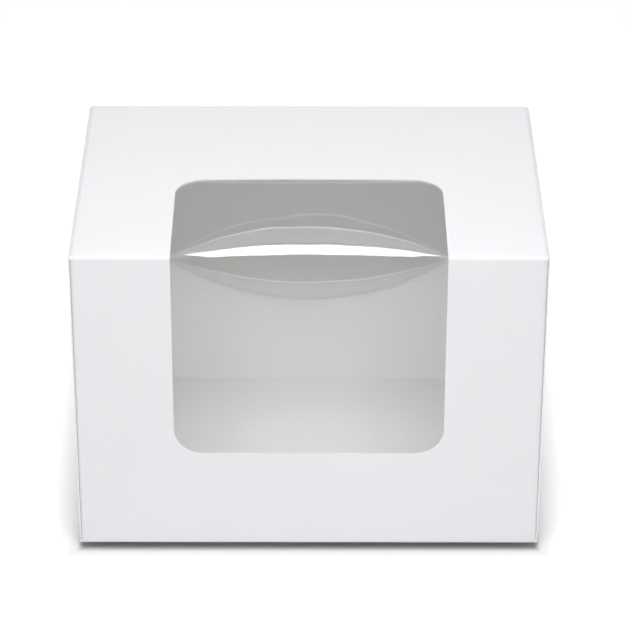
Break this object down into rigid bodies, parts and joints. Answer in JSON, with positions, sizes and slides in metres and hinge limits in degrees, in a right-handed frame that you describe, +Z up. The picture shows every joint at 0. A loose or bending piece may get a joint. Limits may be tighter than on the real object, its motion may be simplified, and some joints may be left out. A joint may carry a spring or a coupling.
{
  "type": "cookie box",
  "caption": "White tuck-end paperboard box with a clear film window running over its front fold, and end flaps hinged from the top panel.",
  "frame": {"origin": "under the middle of the box, on the plane it stands on", "axes": "+X along the width to the right end, -Y out of the front panel, +Z up"},
  "size_m": [0.1398, 0.1016, 0.1016],
  "materials": {
    "paperboard": "smooth coated white paperboard, satin",
    "clear_film": "clear glossy film"
  },
  "bodies": {
    "carton": {"carton_body": "paperboard", "window_film": "clear_film"},
    "left_flap": {"left_end_flap": "paperboard"},
    "right_flap": {"right_end_flap": "paperboard"}
  },
  "joints": [
    {"name": "left_flap_hinge", "type": "hinge", "parent": "carton", "child": "left_flap", "pos_m": [-0.06956, 0, 0.10131], "axis": [0, 1, 0], "range_deg": [0, 180]},
    {"name": "right_flap_hinge", "type": "hinge", "parent": "carton", "child": "right_flap", "pos_m": [0.06956, 0, 0.10131], "axis": [0, -1, 0], "range_deg": [0, 180]}
  ]
}
